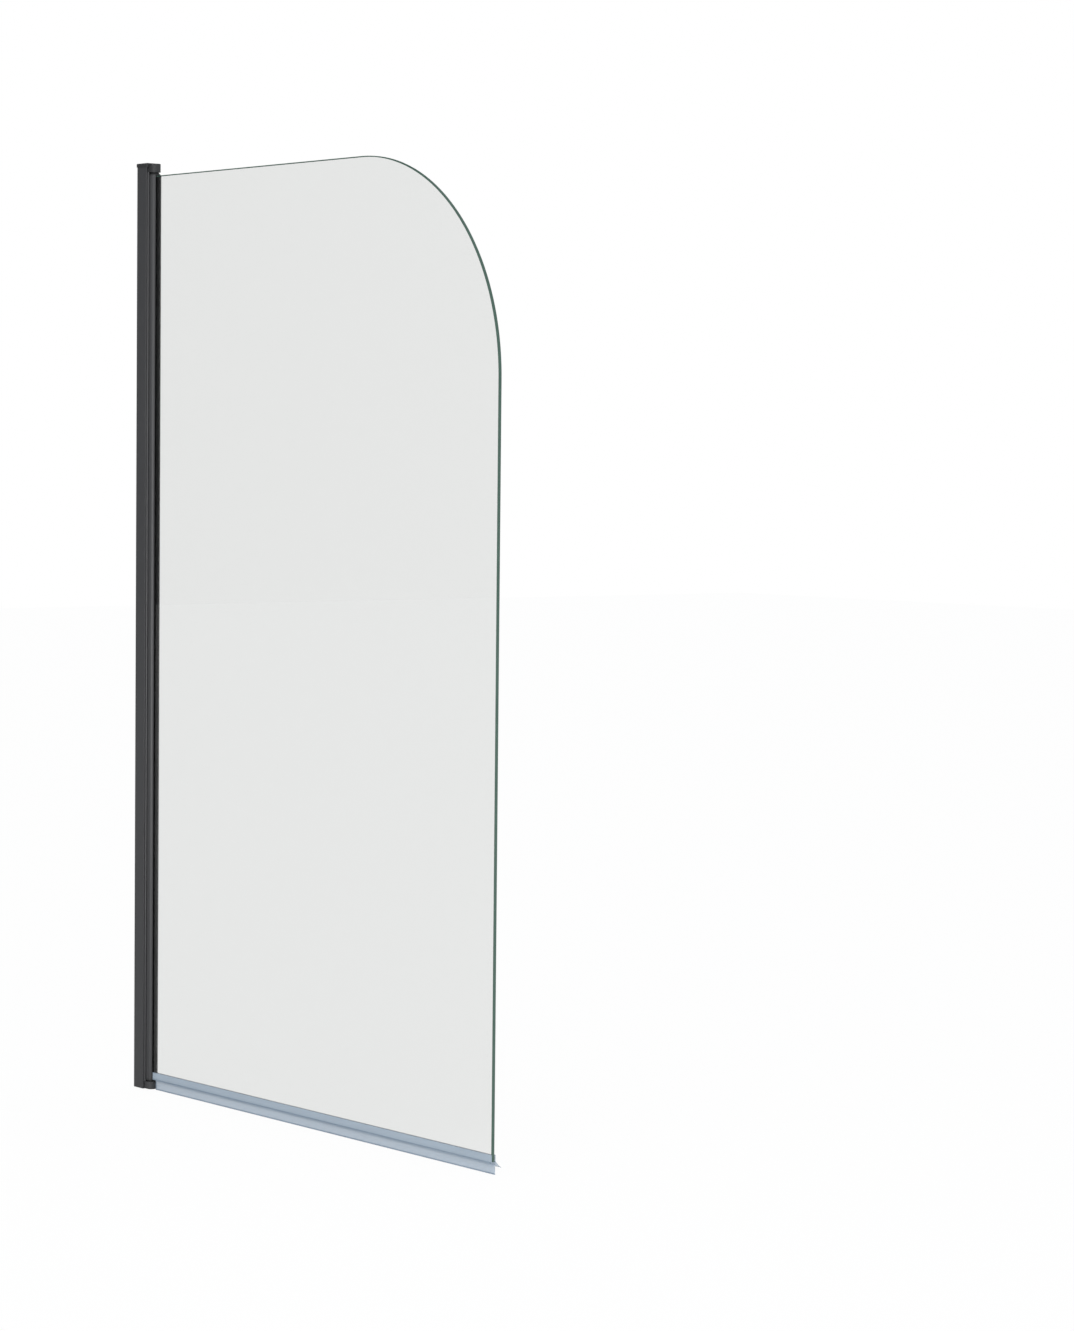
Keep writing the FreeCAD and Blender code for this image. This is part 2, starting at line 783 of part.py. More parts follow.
doc.recompute()
for thing in doc.Objects:
    if any(word in thing.State for word in ("Invalid", "Error")):
        raise RuntimeError(f"{thing.Label} failed: {thing.State}")
os.makedirs("parts", exist_ok=True)
for thing in nodes:
    shape = thing.Shape
    if shape.isNull() or not shape.isValid():
        raise RuntimeError(f"{thing.Label} has no valid shape")
    box = shape.BoundBox
    print(
        f"{thing.Label}: {len(shape.Solids)} solid, {shape.Volume:.0f} mm3,"
        f" X {box.XMin:.2f}..{box.XMax:.2f} Y {box.YMin:.2f}..{box.YMax:.2f} Z {box.ZMin:.2f}..{box.ZMax:.2f}"
    )
    shape.exportStep(f"parts/{thing.Label}.step")
print(f"{len(nodes)} sub-parts")
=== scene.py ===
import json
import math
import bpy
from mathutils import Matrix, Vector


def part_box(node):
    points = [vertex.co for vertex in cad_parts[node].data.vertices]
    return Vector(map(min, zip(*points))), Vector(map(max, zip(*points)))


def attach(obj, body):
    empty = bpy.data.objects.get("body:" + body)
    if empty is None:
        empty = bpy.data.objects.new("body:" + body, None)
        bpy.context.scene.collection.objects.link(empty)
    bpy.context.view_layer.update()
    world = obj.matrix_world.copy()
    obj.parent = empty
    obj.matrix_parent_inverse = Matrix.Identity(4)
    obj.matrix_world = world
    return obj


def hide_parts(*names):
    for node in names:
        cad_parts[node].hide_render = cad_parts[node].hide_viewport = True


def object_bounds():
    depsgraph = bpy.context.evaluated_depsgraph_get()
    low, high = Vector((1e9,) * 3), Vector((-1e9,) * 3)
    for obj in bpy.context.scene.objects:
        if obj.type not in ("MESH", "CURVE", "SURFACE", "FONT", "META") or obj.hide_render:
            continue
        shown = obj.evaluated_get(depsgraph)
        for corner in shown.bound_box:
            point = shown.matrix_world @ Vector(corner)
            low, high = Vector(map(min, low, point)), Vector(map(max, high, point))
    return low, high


bl_info = {
    "name": "Bath screen",
    "version": (1, 0, 0),
    "blender": (4, 5, 0),
    "location": "View3D > Sidebar > Screen",
    "description": "Dresses a one-panel bath screen and sets it on a pale stage",
    "category": "Add Mesh",
}

import bmesh
import bpy
from bpy.props import FloatProperty, FloatVectorProperty, IntProperty, PointerProperty
from mathutils import Matrix, Quaternion, Vector

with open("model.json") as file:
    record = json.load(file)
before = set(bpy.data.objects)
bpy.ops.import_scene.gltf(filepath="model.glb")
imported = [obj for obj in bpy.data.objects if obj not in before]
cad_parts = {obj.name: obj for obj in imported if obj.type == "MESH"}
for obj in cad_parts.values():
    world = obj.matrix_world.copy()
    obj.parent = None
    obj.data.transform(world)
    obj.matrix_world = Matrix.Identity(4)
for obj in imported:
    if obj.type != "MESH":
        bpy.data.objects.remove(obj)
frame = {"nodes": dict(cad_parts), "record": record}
CAD_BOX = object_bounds()
MM = 0.001
WHITE = (1, 1, 1, 1)

# Places taken from the fixed frame, in metres.
PANE_LOW, PANE_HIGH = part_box("glass_pane")
POST_LOW, POST_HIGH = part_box("pivot_post")
GASKET_LOW, GASKET_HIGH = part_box("glass_gasket")
STRIP_LOW, STRIP_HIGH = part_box("bottom_strip")
PROFILE_LOW, PROFILE_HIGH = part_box("slide_profile")
AXIS_X = frame["record"]["behaviour"]["joints"][0]["pos_m"][0]
POST_RADIUS = (POST_HIGH.y - POST_LOW.y) / 2
GLASS_HALF = (PANE_HIGH.y - PANE_LOW.y) / 2

# Tolerances in metres: points that are merged, points on a cutting plane, places that count as
# equal, and the room that tests on the middle of a face leave.
MERGE_WITHIN = 2e-6
PLANE_WITHIN = 1e-8
SAME_PLACE = 1e-6
MARGIN = 0.1 * MM
# A face lies flat across an axis when its normal has at least this part along it.
FLAT_ACROSS = 0.99

# Steps round each round form.
POST_STEPS = 96
PROFILE_CORNER_STEPS = 16
PROFILE_SEAT_STEPS = 40
PORT_STEPS = 40
PORT_BORE_STEPS = 32
HEAD_STEPS = 48
SHANK_STEPS = 32
COVER_STEPS = 48

# The section of a screw cover's dome, in shares of its radius and height.
DOME = ((0, 1), (0.45, 0.985), (0.72, 0.9), (0.9, 0.7), (0.985, 0.42), (1, 0.16), (1, 0))
# The size of the cross recess's floor, as a share of its mouth's.
RECESS_TAPER = 0.72

# The floor's half side and its drop below the object, in metres, and the share of plain white
# that shows on it. The rest takes the object's shadow.
FLOOR_REACH = 14.0
FLOOR_DROP = 0.5 * MM
FLOOR_SHOWN = 0.96
SKY = (0.94, 0.97, 1.0, 1)
SKY_STRENGTH = 0.75
# In mirrored rays alone floor and sky are darker towards the wall, which keeps the black
# profiles plain. They darken from the second place along X to the first. On the floor that
# is a place in metres, and in the sky the ray's own part along X.
FLOOR_WALL_SIDE = (0.5, 1.0)
FLOOR_DARK_SHARE = 0.65
FLOOR_DARK_GLOW = 0.1
SKY_WALL_SIDE = (-0.6, -0.2)
SKY_DIMMED = 0.6

# The photograph's camera, worked out from the glass's outline: metres, degrees and millimetres.
CAMERA_PLACE = (4.34197, -2.84338, 0.89464)
CAMERA_AHEAD = (-0.771618, 0.633578, -0.056426)
CAMERA_ROLL = 0.5706
CAMERA_LENS = 99.1


# ---- sizes and colours that a user may change ----------------------------------------------


def length(name, description, default):
    """A size in the sidebar, given here in millimetres."""
    return FloatProperty(
        name=name, description=description, default=default * MM, min=0, subtype="DISTANCE"
    )


def colour(name, description, default):
    """A colour in the sidebar."""
    return FloatVectorProperty(
        name=name, description=description, default=default, size=3, min=0, max=1, subtype="COLOR"
    )


class ScreenSizes(bpy.types.PropertyGroup):
    corner_radius: length("Corner radius", "Radius of the pane's round upper corner", 290.0)
    corner_steps: IntProperty(
        name="Corner steps", description="Steps round the corner", default=72, min=8
    )
    edge_round: length("Edge round", "Polished arris along the pane's edge", 1.4)
    profile_front: length("Profile front", "Place of the profile's front, from the wall", 25.6)
    profile_round: length("Profile rounding", "Radius of the profile's front corners", 2.6)
    profile_wall: length("Profile wall", "Thickness of the inner profile's walls", 1.5)
    seat_gap: length("Seat gap", "Gap between the post and its seat", 0.4)
    port_place: length("Port place", "Place of the screw port, from the wall", 13.5)
    port_outer: length("Port outside", "Outer radius of the screw port", 3.0)
    port_bore: length("Port bore", "Bore radius of the screw port", 1.6)
    slot_half: length("Slot half", "Half of the width of the post's slot", 3.4)
    slot_depth: length("Slot depth", "How far the slot runs behind the pivot axis", 4.2)
    post_edge: length("Post edge", "Rounding of the post's slot edges", 0.3)
    gasket_play: length("Gasket play", "Gap between the gasket and glass or slot", 0.03)
    gasket_back: length("Gasket back", "Thickness of the gasket behind the glass", 1.2)
    gasket_short: length("Short lip", "How far the room-side lip runs past the axis", 6.8)
    gasket_edge: length("Gasket edge", "Rounding of the gasket's long edges", 0.12)
    lip_start: length("Lip start", "How far past the short lip the long one swells", 0.05)
    lip_swell: length("Lip swell", "How far the long lip stands out of the slot", 0.3)
    lip_end: length("Lip end", "Thickness of the long lip at its end", 0.4)
    notch_start: length("Notch start", "Where the long lip ends over the strip, past the axis", 8.1)
    notch_gap: length("Notch gap", "Gap between the strip and the long lip over it", 0.1)
    strip_play: length("Strip play", "Gap between the strip's legs and the glass", 0.05)
    strip_wall: length("Strip wall", "Thickness of the strip's legs", 0.9)
    strip_web: length("Strip web", "Thickness of the web under the glass", 1.4)
    strip_grip: length("Strip grip", "How far the legs reach up the glass", 8.9)
    strip_edge: length("Strip edge", "Rounding of the strip's long edges", 0.18)
    fin_place: length("Fin place", "Place of the wiping fin behind the pane's middle", 1.9)
    fin_thick: length("Fin thickness", "Thickness of the wiping fin", 0.9)
    fin_root: length("Fin root", "How far the wiping fin runs up into the web", 0.2)
    bead_place: length("Bead place", "Height of the bead's middle over the fin's tip", 0.7)
    bead_rise: length("Bead rise", "Height of the bead over its middle", 1.2)
    bead_swell: length("Bead swell", "How far the fin's bead stands out", 0.4)
    drip_start: length("Drip fin start", "Where the drip fin starts, from the pivot axis", 12.0)
    drip_drop: length("Drip fin drop", "How far the drip fin's tip lies below the web", 7.2)
    drip_root: length("Drip fin root", "How far its root runs down the wiping fin", 3.2)
    drip_rise: length("Drip fin rise", "How far its root runs up the leg", 2.2)
    drip_tip: length("Drip fin tip", "Thickness of the drip fin's tip", 0.6)
    drip_under: length("Drip fin underside", "How far its underside is hollowed", 0.3)
    drip_over: length("Drip fin top", "How far its upper side is hollowed", 0.9)
    head_radius: length("Head radius", "Radius of the end screws' heads", 3.2)
    head_height: length("Head height", "Height of the end screws' heads", 1.8)
    head_round: length("Head rounding", "Rounding of the heads' rims", 0.7)
    shank_radius: length("Shank radius", "Radius of the end screws' shanks", 1.5)
    screw_length: length("Screw length", "Length of the end screws", 22.0)
    recess_width: length("Recess width", "Width of one arm of the cross recess", 0.9)
    recess_reach: length("Recess reach", "Reach of one arm of the cross recess", 1.9)
    recess_depth: length("Recess depth", "Depth of the cross recess", 1.1)
    cover_radius: length("Cover radius", "Radius of the screw covers", 4.8)
    cover_hollow: length("Cover hollow", "Radius of the hollow for the screw's head", 3.3)
    cover_height: length("Cover height", "Height of the screw covers", 3.0)
    cover_top: length("Cover top", "Thickness of the cover over its hollow", 1.1)


class ScreenColours(bpy.types.PropertyGroup):
    coat: colour("Coat", "Matt black coat of the profiles", (0.044, 0.044, 0.046))
    moulding: colour("Mouldings", "Black plastic of cap and block", (0.027, 0.027, 0.028))
    rubber: colour("Rubber", "Black rubber of the gasket", (0.006, 0.006, 0.007))
    steel: colour("Steel", "Bare steel of pins and screws", (0.58, 0.58, 0.6))
    glass_tint: colour("Glass tint", "Tint of the pane through its face", (0.831, 0.8395, 0.831))
    glass_edge: colour("Glass edge", "Dark green-grey of the pane's edge", (0.084, 0.155, 0.12))
    vinyl: colour("Vinyl", "Bluish clear vinyl of the strip", (0.49, 0.58, 0.675))
    web_vinyl: colour("Web vinyl", "The same vinyl where it is thick", (0.275, 0.355, 0.445))
    floor: colour("Floor", "Colour of the floor", (0.96, 0.96, 0.96))


# ---- shader maths --------------------------------------------------------------------------


class Value:
    """A socket whose operators add Math nodes."""

    def __init__(self, tree, socket):
        self.tree = tree
        self.socket = socket

    def _math(self, operation, *others):
        return self.tree.node("ShaderNodeMath", {"operation": operation}, *others)

    def __add__(self, other):
        return self._math("ADD", self, other)

    def __radd__(self, other):
        return self._math("ADD", other, self)

    def __sub__(self, other):
        return self._math("SUBTRACT", self, other)

    def __rsub__(self, other):
        return self._math("SUBTRACT", other, self)

    def __mul__(self, other):
        return self._math("MULTIPLY", self, other)

    def __rmul__(self, other):
        return self._math("MULTIPLY", other, self)

    def either(self, other):
        """The larger of two values, which joins two masks."""
        return self._math("MAXIMUM", self, other)

    def falling(self, start, end):
        """A mask that is 1 up to a start, 0 from an end on, and straight in between."""
        slope = 1 / (end - start)
        settings = {"operation": "MULTIPLY", "use_clamp": True}
        return self.tree.node("ShaderNodeMath", settings, end - self, slope)


class Nodes:
    """The nodes of a material or world. One method takes a type, settings and socket values."""

    def __init__(self, owner):
        owner.use_nodes = True
        self.nodes = owner.node_tree.nodes
        self.links = owner.node_tree.links
        self.nodes.clear()

    def put(self, socket, value):
        if isinstance(value, Value):
            self.links.new(value.socket, socket)
        elif value is not None:
            socket.default_value = value

    def node(self, kind, settings=None, *inputs, out=0, **named):
        made = self.nodes.new(kind)
        for key, setting in (settings or {}).items():
            setattr(made, key, setting)
        for place, value in enumerate(inputs):
            self.put(made.inputs[place], value)
        for key, value in named.items():
            self.put(made.inputs[key.replace("_", " ")], value)
        return Value(self, made.outputs[out]) if made.outputs else None

    def rays(self, *kinds):
        """A mask for each kind of ray: 1 for a ray of that kind and 0 for any other."""
        return [self.node("ShaderNodeLightPath", out=f"Is {kind} Ray") for kind in kinds]


class Finish(Nodes):
    """A node material."""

    def __init__(self, name):
        self.material = bpy.data.materials.new(name)
        super().__init__(self.material)

    def place(self, scale=(1, 1, 1)):
        """The surface's own place in the object, scaled."""
        where = self.node("ShaderNodeTexCoord", out="Object")
        return self.node("ShaderNodeMapping", {}, where, (0, 0, 0), (0, 0, 0), scale)

    def noise(self, where, scale, detail=2.0, roughness=0.5):
        return self.node(
            "ShaderNodeTexNoise", Vector=where, Scale=scale, Detail=detail, Roughness=roughness
        )

    def varied(self, amount, shade, dark, pale):
        """A shade that goes from a darker to a paler one with an amount."""
        ends = [solid(shade_of(shade, factor)) for factor in (dark, pale)]
        # A Mix node has five sockets before its two colours, and gives the mixed colour third.
        others = [None] * 5
        return self.node("ShaderNodeMix", {"data_type": "RGBA"}, amount, *others, *ends, out=2)

    def bump(self, height, depth, strength):
        return self.node("ShaderNodeBump", Strength=strength, Distance=depth, Height=height)

    def surface(self, shader):
        """The material with a shader on its surface."""
        self.node("ShaderNodeOutputMaterial", {}, shader)
        return self.material

    def principled(self, **sockets):
        return self.surface(self.node("ShaderNodeBsdfPrincipled", **sockets))


def solid(shade):
    return (*shade, 1.0)


def shade_of(shade, factor):
    return tuple(min(1.0, part * factor) for part in shade)


def coated_finish(name, shade):
    """Matt powder coat: a fine orange peel with a slow change of gloss."""
    finish = Finish(name)
    where = finish.place()
    peel = finish.noise(where, scale=1400.0, detail=3.0, roughness=0.6)
    grain = finish.noise(where, scale=5200.0, detail=1.0)
    cloud = finish.noise(where, scale=9.0)
    return finish.principled(
        Base_Color=finish.varied(cloud, shade, dark=0.9, pale=1.12),
        Roughness=0.32 + cloud * 0.05 + grain * 0.05,
        Normal=finish.bump(peel + grain * 0.4, depth=0.04 * MM, strength=0.35),
        IOR=1.5,
    )


def moulded_finish(name, shade, rough=0.42):
    """Moulded plastic with a fine spark-eroded texture."""
    finish = Finish(name)
    where = finish.place()
    spark = finish.noise(where, scale=3200.0, detail=3.0, roughness=0.65)
    cloud = finish.noise(where, scale=40.0)
    return finish.principled(
        Base_Color=finish.varied(cloud, shade, dark=0.85, pale=1.15),
        Roughness=rough + spark * 0.1,
        Normal=finish.bump(spark, depth=0.05 * MM, strength=0.4),
        IOR=1.48,
    )


def rubber_finish(name, shade):
    """Extruded rubber with fine lines drawn along it."""
    finish = Finish(name)
    drawn = finish.noise(finish.place((1, 1, 0.04)), scale=2600.0)
    return finish.principled(
        Base_Color=finish.varied(drawn, shade, dark=0.8, pale=1.3),
        Roughness=0.55 + drawn * 0.15,
        Normal=finish.bump(drawn, depth=0.03 * MM, strength=0.5),
    )


def turned_finish(name, shade):
    """Bare steel with fine turning rings."""
    finish = Finish(name)
    rings = finish.noise(finish.place((1, 1, 40)), scale=300.0, detail=3.0)
    return finish.principled(
        Base_Color=finish.varied(rings, shade, dark=0.86, pale=1.08),
        Roughness=0.26 + rings * 0.14,
        Normal=finish.bump(rings, depth=0.02 * MM, strength=0.3),
        Metallic=1.0,
    )


def glass_face_finish(name, tint):
    """Clear tinted glass with a hardly visible wave."""
    finish = Finish(name)
    wave = finish.noise(finish.place(), scale=1.6, detail=1.0)
    return finish.principled(
        Base_Color=solid(tint),
        Roughness=0.0,
        IOR=1.5,
        Transmission_Weight=1.0,
        Normal=finish.bump(wave, depth=0.2 * MM, strength=0.05),
    )


def glass_edge_finish(name, shade):
    """The polished edge, where the eye looks along the thickness of the glass."""
    finish = Finish(name)
    where = finish.place()
    depth = finish.noise(where, scale=30.0)
    ground = finish.noise(where, scale=2400.0)
    return finish.principled(
        Base_Color=finish.varied(depth, shade, dark=0.88, pale=1.15),
        Roughness=0.12 + ground * 0.08,
        IOR=1.45,
    )


def vinyl_finish(name, shade, clear):
    """Clear vinyl with fine lines drawn along it."""
    finish = Finish(name)
    drawn = finish.noise(finish.place((0.02, 1, 1)), scale=1500.0)
    cloud = finish.noise(finish.place((0.2, 1, 1)), scale=25.0)
    return finish.principled(
        Base_Color=finish.varied(cloud, shade, dark=0.94, pale=1.06),
        Roughness=0.16 + drawn * 0.12,
        IOR=1.53,
        Alpha=clear,
        Normal=finish.bump(drawn, depth=0.03 * MM, strength=0.25),
        Coat_Weight=0.3,
    )


# ---- making pieces -------------------------------------------------------------------------


def linked(name, data):
    """A new object in the scene."""
    made = bpy.data.objects.new(name, data)
    bpy.context.scene.collection.objects.link(made)
    return made


def finished(name, shape, body, slot, *finishes, replaces, sharp=35.0):
    """Turns a bmesh into a piece with smooth faces and sharp edges, which rides on a body."""
    bmesh.ops.remove_doubles(shape, verts=shape.verts, dist=MERGE_WITHIN)
    bmesh.ops.recalc_face_normals(shape, faces=shape.faces)
    for face in shape.faces:
        face.smooth = True
    for edge in shape.edges:
        angle = edge.calc_face_angle(0)
        edge.smooth = len(edge.link_faces) == 2 and angle < math.radians(sharp)
    mesh = bpy.data.meshes.new(name)
    shape.to_mesh(mesh)
    shape.free()
    piece = linked(name, mesh)
    for finish in finishes:
        mesh.materials.append(finish)
    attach(piece, body)
    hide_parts(*replaces)


def joined(shape, fresh):
    """Adds one bmesh to another."""
    passing = bpy.data.meshes.new("passing")
    fresh.to_mesh(passing)
    fresh.free()
    shape.from_mesh(passing)
    bpy.data.meshes.remove(passing)


def drawn_face(shape, points):
    """One flat face through a few points."""
    return shape.faces.new([shape.verts.new(point) for point in points])


def rod(shape, radius, top, tall, steps):
    """An upright cylinder on the Z axis, whose upper end lies at a height."""
    made = bmesh.ops.create_cone(
        shape, cap_ends=True, segments=steps, radius1=radius, radius2=radius, depth=tall
    )
    bmesh.ops.translate(shape, verts=made["verts"], vec=Vector((0, 0, top - tall / 2)))


def pulled(shape, faces, move):
    """Extrudes faces along a vector."""
    grown = bmesh.ops.extrude_face_region(shape, geom=faces, use_keep_orig=True)
    moved = [part for part in grown["geom"] if isinstance(part, bmesh.types.BMVert)]
    bmesh.ops.translate(shape, verts=moved, vec=move)


def softened(shape, edges, width, steps):
    """Rounds edges in a few steps."""
    bmesh.ops.bevel(
        shape, geom=edges, offset=width, segments=steps, profile=0.5, affect="EDGES", material=-1
    )


def cut_through(shape, place, normal, faces=None):
    """Splits all faces, or some, along a plane."""
    faces = list(faces or shape.faces)
    edges = list(dict.fromkeys(edge for face in faces for edge in face.edges))
    verts = list(dict.fromkeys(vert for face in faces for vert in face.verts))
    bmesh.ops.bisect_plane(
        shape, geom=verts + edges + faces, plane_co=place, plane_no=normal, dist=PLANE_WITHIN
    )


def edges_along(shape, way, least, sharper):
    """Edges along a way, longer than a length, whose faces meet at more than some degrees."""
    found = []
    for edge in shape.edges:
        run = edge.verts[1].co - edge.verts[0].co
        reach = run.dot(way)
        straight = (run - reach * way).length < SAME_PLACE
        sharp = edge.calc_face_angle(0) > math.radians(sharper)
        if abs(reach) > least and straight and sharp:
            found.append(edge)
    return found


def on_from(shape, vert, *places):
    """Carries a line of edges on from a vertex through places."""
    for place in places:
        after = shape.verts.new(place)
        shape.edges.new((vert, after))
        vert = after
    return vert


def round_from(shape, vert, centre, angle, steps):
    """Carries a line of edges on from a vertex along an arc round an upright axis."""
    turned = bmesh.ops.spin(
        shape, geom=[vert], cent=centre, axis=(0, 0, 1), angle=angle, steps=steps
    )
    return next(part for part in turned["geom_last"] if isinstance(part, bmesh.types.BMVert))


def carried(node, finish):
    """Gives a node of the frame its finish."""
    mesh = frame["nodes"][node].data
    mesh.materials.clear()
    mesh.materials.append(finish)


def sizes():
    return bpy.context.scene.screen_sizes


def colours():
    return bpy.context.scene.screen_colours


def shared(name, make, *values, **named):
    """A finish by name, made once."""
    return bpy.data.materials.get(name) or make(name, *values, **named)


# ---- operators -----------------------------------------------------------------------------


class SCREEN_OT_pane(bpy.types.Operator):
    """The glass pane with one round upper corner and a polished edge"""

    bl_idname = "screen.pane"
    bl_label = "Pane"

    def execute(self, context):
        size = sizes()
        shape = bmesh.new()
        low = Vector((PANE_LOW.x, -GLASS_HALF, PANE_LOW.z))
        high = Vector((PANE_HIGH.x, -GLASS_HALF, PANE_HIGH.z))
        corners = [low, Vector((high.x, low.y, low.z)), high, Vector((low.x, low.y, high.z))]
        drawn_face(shape, corners)
        far = max(shape.verts, key=lambda vert: vert.co.x + vert.co.z)
        bmesh.ops.bevel(
            shape,
            geom=[far],
            offset=size.corner_radius,
            segments=size.corner_steps,
            profile=0.5,
            affect="VERTICES",
            material=-1,
        )
        pulled(shape, list(shape.faces), Vector((0, 2 * GLASS_HALF, 0)))
        bmesh.ops.recalc_face_normals(shape, faces=shape.faces)
        rims = []
        for edge in shape.edges:
            start, end = edge.verts
            if abs(start.co.y - end.co.y) < SAME_PLACE:
                rims.append(edge)
        softened(shape, rims, size.edge_round, steps=1)
        for face in shape.faces:
            face.material_index = 0 if abs(face.normal.y) > FLAT_ACROSS else 1
        tone = colours()
        finished(
            "pane",
            shape,
            "panel",
            "clear_glass",
            glass_face_finish("pane_face", tone.glass_tint),
            glass_edge_finish("pane_edge", tone.glass_edge),
            replaces=["glass_pane"],
            sharp=30.0,
        )
        return {"FINISHED"}


class SCREEN_OT_strip(bpy.types.Operator):
    """The clear strip under the glass: clip, web, wiping fin with a bead, and drip fin"""

    bl_idname = "screen.strip"
    bl_label = "Seal strip"

    def execute(self, context):
        size = sizes()
        shape = bmesh.new()
        inner = GLASS_HALF + size.strip_play
        outer = inner + size.strip_wall
        top = STRIP_HIGH.z
        seat = top - size.strip_grip
        web = seat - size.strip_web
        clip = [
            (-outer, web),
            (-outer, seat),
            (-outer, top),
            (-inner, top),
            (-inner, seat),
            (inner, seat),
            (inner, top),
            (outer, top),
            (outer, seat),
            (outer, web),
        ]
        front = size.fin_place
        back = front + size.fin_thick
        tip = STRIP_LOW.z
        bead = tip + size.bead_place
        wiper = [
            (front, web + size.fin_root),
            (front, bead + size.bead_rise),
            (front - size.bead_swell, bead),
            (front, tip),
            (back, tip),
            (back + size.bead_swell, bead),
            (back, bead + size.bead_rise),
            (back, web + size.fin_root),
        ]
        for outline in (clip, wiper):
            drawn_face(shape, [(STRIP_LOW.x, y, z) for y, z in outline])
        pulled(shape, list(shape.faces), Vector((STRIP_HIGH.x - STRIP_LOW.x, 0, 0)))
        low = web - size.drip_drop
        under = web - size.drip_root
        over = web + size.drip_rise
        reach = STRIP_HIGH.y
        bend = (back + size.fin_thick + reach) / 2
        in_fin = back - size.fin_thick / 2
        in_leg = outer - size.strip_wall / 2
        in_web = web + size.strip_web / 2
        drip = [
            (in_fin, under),
            (bend, (under + low) / 2 + size.drip_under),
            (reach, low),
            (reach, low + size.drip_tip),
            (bend, (over + low) / 2 - size.drip_over),
            (outer, over),
            (in_leg, over),
            (in_leg, in_web),
            (in_fin, in_web),
        ]
        drip_start = AXIS_X + size.drip_start
        drip_fin = drawn_face(shape, [(drip_start, y, z) for y, z in drip])
        pulled(shape, [drip_fin], Vector((STRIP_HIGH.x - drip_start, 0, 0)))
        bmesh.ops.recalc_face_normals(shape, faces=shape.faces)
        long_edges = edges_along(shape, Vector((1, 0, 0)), least=100 * MM, sharper=20)
        softened(shape, long_edges, size.strip_edge, steps=2)
        for face in shape.faces:
            middle = face.calc_center_median()
            of_web = web - MARGIN < middle.z < seat + MARGIN
            of_bead = middle.z < bead + size.bead_rise * 2 / 3
            of_drip = middle.y > outer + MARGIN
            face.material_index = 1 if (of_web or of_bead) and not of_drip else 0
        tone = colours()
        finished(
            "seal_strip",
            shape,
            "panel",
            "strip_vinyl",
            vinyl_finish("clear_vinyl", tone.vinyl, clear=0.62),
            vinyl_finish("web_vinyl", tone.web_vinyl, clear=0.75),
            replaces=["bottom_strip"],
            sharp=50.0,
        )
        return {"FINISHED"}


class SCREEN_OT_post(bpy.types.Operator):
    """The round post with its slot, and the rubber gasket in it"""

    bl_idname = "screen.post"
    bl_label = "Post and gasket"

    def execute(self, context):
        self.make_post()
        self.make_gasket()
        return {"FINISHED"}

    def make_post(self):
        size = sizes()
        shape = bmesh.new()
        bmesh.ops.create_circle(shape, cap_ends=True, radius=POST_RADIUS, segments=POST_STEPS)
        cut_through(shape, (0, size.slot_half, 0), (0, 1, 0))
        cut_through(shape, (0, -size.slot_half, 0), (0, 1, 0))
        cut_through(shape, (-size.slot_depth, 0, 0), (1, 0, 0))
        slot = []
        for face in shape.faces:
            middle = face.calc_center_median()
            if middle.x > -size.slot_depth and abs(middle.y) < size.slot_half:
                slot.append(face)
        bmesh.ops.delete(shape, geom=slot, context="FACES")
        bmesh.ops.dissolve_faces(shape, faces=list(shape.faces))
        bmesh.ops.translate(shape, verts=shape.verts, vec=Vector((AXIS_X, 0, POST_LOW.z)))
        pulled(shape, list(shape.faces), Vector((0, 0, POST_HIGH.z - POST_LOW.z)))
        bmesh.ops.recalc_face_normals(shape, faces=shape.faces)
        slot_edges = edges_along(shape, Vector((0, 0, 1)), least=2 * MM, sharper=40)
        softened(shape, slot_edges, size.post_edge, steps=3)
        coat = shared("profile_coat", coated_finish, colours().coat)
        finished("round_post", shape, "panel", "coated_profile", coat, replaces=["pivot_post"])

    def make_gasket(self):
        size = sizes()
        shape = bmesh.new()
        inner = GLASS_HALF + size.gasket_play
        wall = size.slot_half - size.gasket_play
        back = GASKET_LOW.x
        base = back + size.gasket_back
        short = AXIS_X + size.gasket_short
        long = GASKET_HIGH.x
        outline = [
            (back, -wall),
            (short, -wall),
            (short, -inner),
            (base, -inner),
            (base, inner),
            (long, inner),
            (long, inner + size.lip_end),
            (AXIS_X + POST_RADIUS, wall + size.lip_swell),
            (short + size.lip_start, wall),
            (back, wall),
        ]
        drawn_face(shape, [(x, y, GASKET_LOW.z) for x, y in outline])
        notch_start = AXIS_X + size.notch_start
        cut_through(shape, (notch_start, 0, 0), (1, 0, 0))
        pulled(shape, list(shape.faces), Vector((0, 0, GASKET_HIGH.z - GASKET_LOW.z)))
        cut_through(shape, (0, 0, STRIP_HIGH.z + size.notch_gap), (0, 0, 1))
        notch = []
        for face in shape.faces:
            middle = face.calc_center_median()
            of_lip = middle.x > notch_start and middle.y > inner - MARGIN
            if of_lip and middle.z < STRIP_HIGH.z:
                notch.append(face)
        bmesh.ops.delete(shape, geom=notch, context="FACES")
        open_edges = [edge for edge in shape.edges if edge.is_boundary]
        bmesh.ops.holes_fill(shape, edges=open_edges)
        bmesh.ops.recalc_face_normals(shape, faces=shape.faces)
        lip_edges = edges_along(shape, Vector((0, 0, 1)), least=2 * MM, sharper=15)
        softened(shape, lip_edges, size.gasket_edge, steps=2)
        rubber = shared("gasket_black", rubber_finish, colours().rubber)
        finished(
            "gasket",
            shape,
            "panel",
            "gasket_rubber",
            rubber,
            replaces=["glass_gasket"],
            sharp=50.0,
        )


